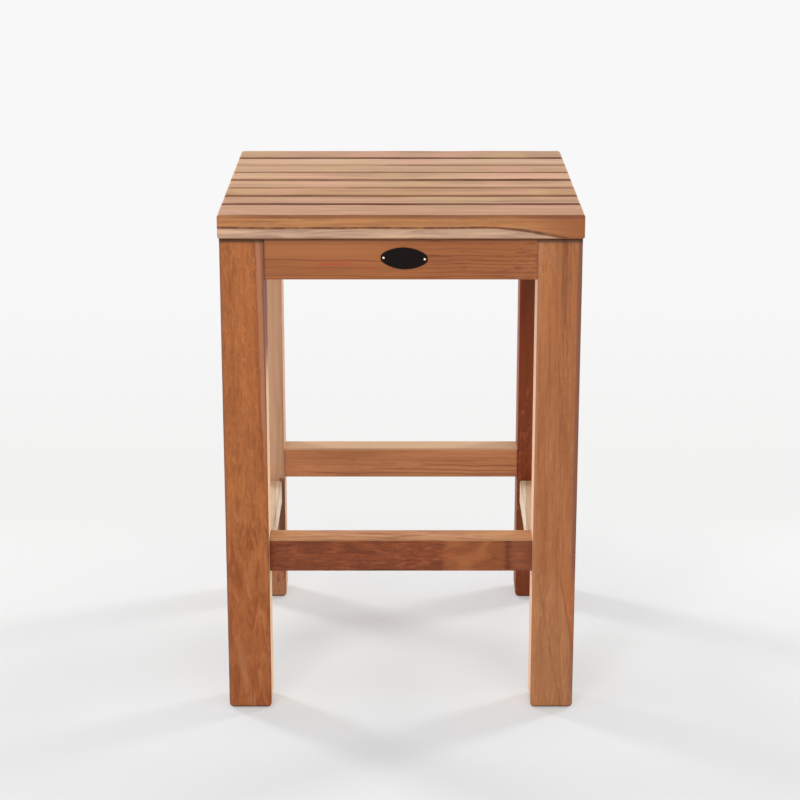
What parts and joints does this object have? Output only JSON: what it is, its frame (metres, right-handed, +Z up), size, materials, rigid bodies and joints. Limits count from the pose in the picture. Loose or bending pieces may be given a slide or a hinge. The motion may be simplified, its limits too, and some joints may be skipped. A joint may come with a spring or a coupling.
{
  "type": "shower foot rest",
  "caption": "Square slatted teak foot rest for a shower: legs, aprons and staggered stretchers joined by mortise and tenon under a flat slatted top.",
  "frame": {"origin": "on the floor under the middle of the square top", "axes": "+Z up, -Y the front with the oval name plate, +X to the right seen from the front"},
  "size_m": [0.308, 0.308, 0.4475],
  "materials": {
    "teak_golden": "golden brown teak, fine sanded and left bare",
    "teak_tan": "tan teak with a straight grain, fine sanded and left bare",
    "teak_red": "reddish teak, fine sanded and left bare",
    "teak_dark": "dark red-brown teak, fine sanded and left bare",
    "teak_cream": "pale sapwood, fine sanded and left bare",
    "teak_top": "light pinkish tan teak, fine sanded and left bare",
    "screw_steel": "stainless steel",
    "plate_black": "near-black enamel, satin and bare of any mark",
    "pin_brass": "polished brass"
  },
  "bodies": {
    "root": {"leg_front_left": "teak_golden", "leg_front_right": "teak_tan", "leg_back_left": "teak_tan", "leg_back_right": "teak_dark", "apron_front": "teak_red", "apron_back": "teak_red", "apron_left": "teak_golden", "apron_right": "teak_tan", "stretcher_front": "teak_dark", "stretcher_back": "teak_tan", "stretcher_left": "teak_cream", "stretcher_right": "teak_cream", "batten_left": "teak_golden", "batten_right": "teak_golden", "slat_1": "teak_golden", "slat_2": "teak_top", "slat_3": "teak_top", "slat_4": "teak_top", "slat_5": "teak_top", "slat_6": "teak_top", "slat_7": "teak_top", "slat_8": "teak_top", "slat_screws": "screw_steel", "batten_screws": "screw_steel", "top_dowels": "teak_cream", "name_plate": "plate_black", "plate_pins": "pin_brass"}
  },
  "joints": []
}
